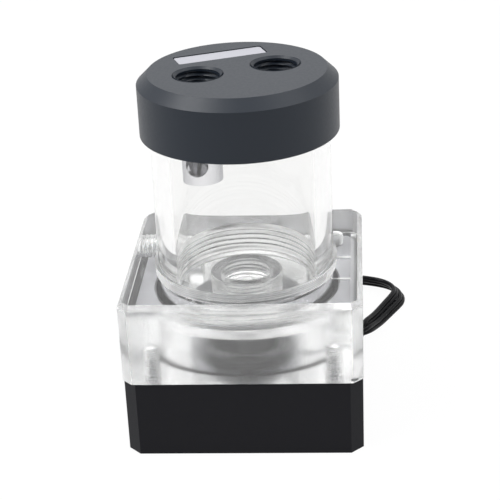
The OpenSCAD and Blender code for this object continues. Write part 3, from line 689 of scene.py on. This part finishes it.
tube_low, tube_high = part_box("reservoir_tube")
tube_r = tube_high.x
tube_in = tube_r - 5 * MM
tube_chamfer = 0.5 * MM
thread_low = tube_low.z + 0.8 * MM
thread_high = block_high.z - 0.4 * MM
cap_thread_low = tube_high.z - 9.4 * MM
cap_pitch = 2 * MM
cap_thread = 0.9 * MM
plain_end = 0.1 * MM            # plain wall between a thread and the long polished wall
plain_step = 12 * MM
tube_profile = (
    [(tube_in, tube_low.z), (tube_r - tube_chamfer, tube_low.z)]
    + steps(tube_r, tube_low.z + tube_chamfer, thread_high, tube_pitch / 8)
    + steps(tube_r, thread_high + plain_end, cap_thread_low - plain_end, plain_step)
    + steps(tube_r, cap_thread_low, tube_high.z - tube_chamfer, cap_pitch / 8)
    + [(tube_r - tube_chamfer, tube_high.z), (tube_in, tube_high.z)])


def tube_threads(r, z, angle):
    """The threads at the tube's two ends, cut into its outside."""
    lower = thread_cut(tube_r, thread_low, thread_high, tube_pitch, -tube_thread)
    upper = thread_cut(tube_r, cap_thread_low, tube_high.z - tube_chamfer, cap_pitch, -cap_thread)
    return lower(r, z, angle) + upper(r, z, angle)


tube_clear = acrylic("acrylic_tube", 0.0, 0.985, (0.97, 0.97, 0.966))[0]
tube_bm = bmesh.new()
turned(tube_bm, tube_profile, 256, tube_threads)
tube = new_piece("clear_tube", tube_bm, tube_clear, "base", 25)
tube.data.materials.append(threaded)
for face in tube.data.polygons:
    inside = math.hypot(face.center.x, face.center.y) < tube_in + 0.01 * MM
    between = thread_high < face.center.z < cap_thread_low
    face.material_index = 0 if inside or between else 1
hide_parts("reservoir_tube")


# ---- Cap ----
# Black acetal, turned from bar: bevelled top edge, two ports threaded for pipe fittings, and a
# shallow recess with a blank plate of brushed aluminium. It screws over the tube.
cap_black, cap_shader = new_material("cap_acetal", (0.004, 0.008, 0.015), 0.42,
                                     Specular_IOR_Level=0.38)
spread(cap_black, pattern(cap_black, "ShaderNodeTexNoise", 1200, detail=3), 0.36, 0.5,
       cap_shader.inputs["Roughness"])
relief(cap_black, lathe_marks(cap_black, 1600), 0.00001, 0.5, cap_shader)
dress(cap_black, "cap")
dress(rubber_black, "cap_seal")

cap_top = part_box("cap")[1].z
cap_port_at = Vector((10.263, 4.043, 0)) * MM
crest_r = port_r - port_thread
sleeve_r = port_r + 0.2 * MM
for side, depth in ((1, 12.5 * MM), (-1, 8.1 * MM)):
    place = Matrix.Translation(side * cap_port_at + Vector((0, 0, cap_top)))
    sleeve_profile = (
        [(crest_r, -depth)] + steps(crest_r, -depth, -port_bevel, port_pitch / 8)
        + [(port_r, port_thread - port_bevel), (sleeve_r, -port_bevel), (sleeve_r, -depth)])
    sleeve_bm = bmesh.new()
    turned(sleeve_bm, sleeve_profile, 128, thread_cut(
        crest_r, -depth, -port_bevel, port_pitch, port_thread), place)
    sleeve = new_piece("port_thread", sleeve_bm, cap_black, "cap", 25)

plate_silver, plate_shader = new_material("plate_aluminium", (0.3, 0.3, 0.33), 0.45, 0.2)
plate_grain = pattern(plate_silver, "ShaderNodeTexNoise", 1500, (1, 6, 1))
spread(plate_silver, plate_grain, 0.38, 0.52, plate_shader.inputs["Roughness"])
dress(plate_silver, "cap_plate")


# ---- Return fitting ----
# Brass, turned and chromium plated, screwed up into the left port of the cap. Coolant that comes
# back through that port leaves it sideways by the cross hole.
chrome, chrome_shader = new_material("chrome_plate", (0.78, 0.78, 0.8), 0.08, 1.0)
spread(chrome, pattern(chrome, "ShaderNodeTexNoise", 300), 0.05, 0.12,
       chrome_shader.inputs["Roughness"])
# Painted reflection: the colour darkens from bright chrome to dark grey as the viewing angle
# grows, so the fitting's edges look dark.
painted_dark_edges = chrome.node_tree.nodes.new("ShaderNodeLayerWeight")
painted_dark_edges.inputs["Blend"].default_value = 0.5
tint(chrome, painted_dark_edges.outputs["Facing"], (0.86, 0.86, 0.88), (0.2, 0.2, 0.23), chrome_shader)
dress(chrome, "return_fitting")


# ---- Table, light and surroundings ----
# A white table that fades into a white background. A wide soft lamp hangs over the pump, a
# smaller one stands to its left and a weak one to its right. The room is darker in front.
def seen_directly(tree):
    """1 where the camera looks, also by reflection or through acrylic, and 0 for other light."""
    path = tree.nodes.new("ShaderNodeLightPath")
    seen = path.outputs["Is Camera Ray"]
    for kind in ("Is Glossy Ray", "Is Transmission Ray"):
        either = tree.nodes.new("ShaderNodeMath")
        either.operation = "MAXIMUM"
        tree.links.new(seen, either.inputs[0])
        tree.links.new(path.outputs[kind], either.inputs[1])
        seen = either.outputs[0]
    return seen


table_grey = (0.75, 0.75, 0.75)
glow_share = 0.96               # the rest is the table's own paint, which holds the shadow
table_white = bpy.data.materials.new("table_white")
table_white.use_nodes = True
table_tree = table_white.node_tree
table_tree.nodes.clear()
table_out = table_tree.nodes.new("ShaderNodeOutputMaterial")
table_mix = table_tree.nodes.new("ShaderNodeMixShader")
table_paint = table_tree.nodes.new("ShaderNodeBsdfDiffuse")
table_paint.inputs["Color"].default_value = (*table_grey, 1)
table_glow = table_tree.nodes.new("ShaderNodeEmission")
table_glow.inputs["Strength"].default_value = 1
table_share = table_tree.nodes.new("ShaderNodeMath")
table_share.operation = "MULTIPLY"
table_share.inputs[1].default_value = glow_share
table_tree.links.new(seen_directly(table_tree), table_share.inputs[0])
table_tree.links.new(table_share.outputs[0], table_mix.inputs["Fac"])
table_tree.links.new(table_paint.outputs[0], table_mix.inputs[1])
table_tree.links.new(table_glow.outputs[0], table_mix.inputs[2])
table_tree.links.new(table_mix.outputs[0], table_out.inputs["Surface"])
table_bm = bmesh.new()
bmesh.ops.create_grid(table_bm, x_segments=1, y_segments=1, size=3)
table_mesh = bpy.data.meshes.new("table")
table_bm.to_mesh(table_mesh)
table_bm.free()
table_mesh.materials.append(table_white)
table = bpy.data.objects.new("table", table_mesh)
bpy.context.scene.collection.objects.link(table)

world = bpy.data.worlds.new("studio")
world.use_nodes = True
bpy.context.scene.world = world
world_tree = world.node_tree
backdrop = world_tree.nodes["Background"]
backdrop.inputs["Color"].default_value = (1, 1, 1, 1)
world_place = world_tree.nodes.new("ShaderNodeTexCoord")
world_parts = world_tree.nodes.new("ShaderNodeSeparateXYZ")
world_path = world_tree.nodes.new("ShaderNodeLightPath")
world_tree.links.new(world_place.outputs["Generated"], world_parts.inputs["Vector"])


def front_to_back(front, behind):
    """How bright the room is by direction, from in front of the pump to behind it."""
    ramp = world_tree.nodes.new("ShaderNodeMapRange")
    ramp.inputs["From Min"].default_value = -0.9
    ramp.inputs["From Max"].default_value = 0.85
    ramp.inputs["To Min"].default_value = front
    ramp.inputs["To Max"].default_value = behind
    world_tree.links.new(world_parts.outputs["Y"], ramp.inputs["Value"])
    return ramp.outputs["Result"]


through_acrylic = world_tree.nodes.new("ShaderNodeMapRange")
world_tree.links.new(world_path.outputs["Is Transmission Ray"], through_acrylic.inputs["Value"])
world_tree.links.new(front_to_back(0.25, 0.9), through_acrylic.inputs["To Min"])
world_tree.links.new(front_to_back(0.6, 1), through_acrylic.inputs["To Max"])
world_light = world_tree.nodes.new("ShaderNodeMapRange")
world_light.inputs["To Max"].default_value = 1
world_tree.links.new(world_path.outputs["Is Camera Ray"], world_light.inputs["Value"])
world_tree.links.new(through_acrylic.outputs["Result"], world_light.inputs["To Min"])
world_tree.links.new(world_light.outputs["Result"], backdrop.inputs["Strength"])


def soft_lamp(name, place, size, power, through=False):
    """A square lamp that faces the pump. through tells whether it shows through the acrylic."""
    data = bpy.data.lights.new(name, "AREA")
    data.shape = "SQUARE"
    data.size = size
    data.energy = power
    lamp = bpy.data.objects.new(name, data)
    bpy.context.scene.collection.objects.link(lamp)
    lamp.location = place
    lamp.rotation_euler = (aim - Vector(place)).to_track_quat("-Z", "Y").to_euler()
    lamp.visible_transmission = through


soft_lamp("lamp_left", (-0.7, -0.35, 0.8), 0.7, 13)
soft_lamp("lamp_right", (0.7, -0.25, 0.6), 0.5, 4.2)
soft_lamp("lamp_top", (0, 0.45, 1.3), 2.1, 21, True)

bpy.context.scene.view_settings.view_transform = "Standard"
bpy.context.scene.cycles.max_bounces = 40
bpy.context.scene.cycles.transmission_bounces = 40
bpy.context.scene.cycles.glossy_bounces = 16
bpy.context.scene.cycles.transparent_max_bounces = 16
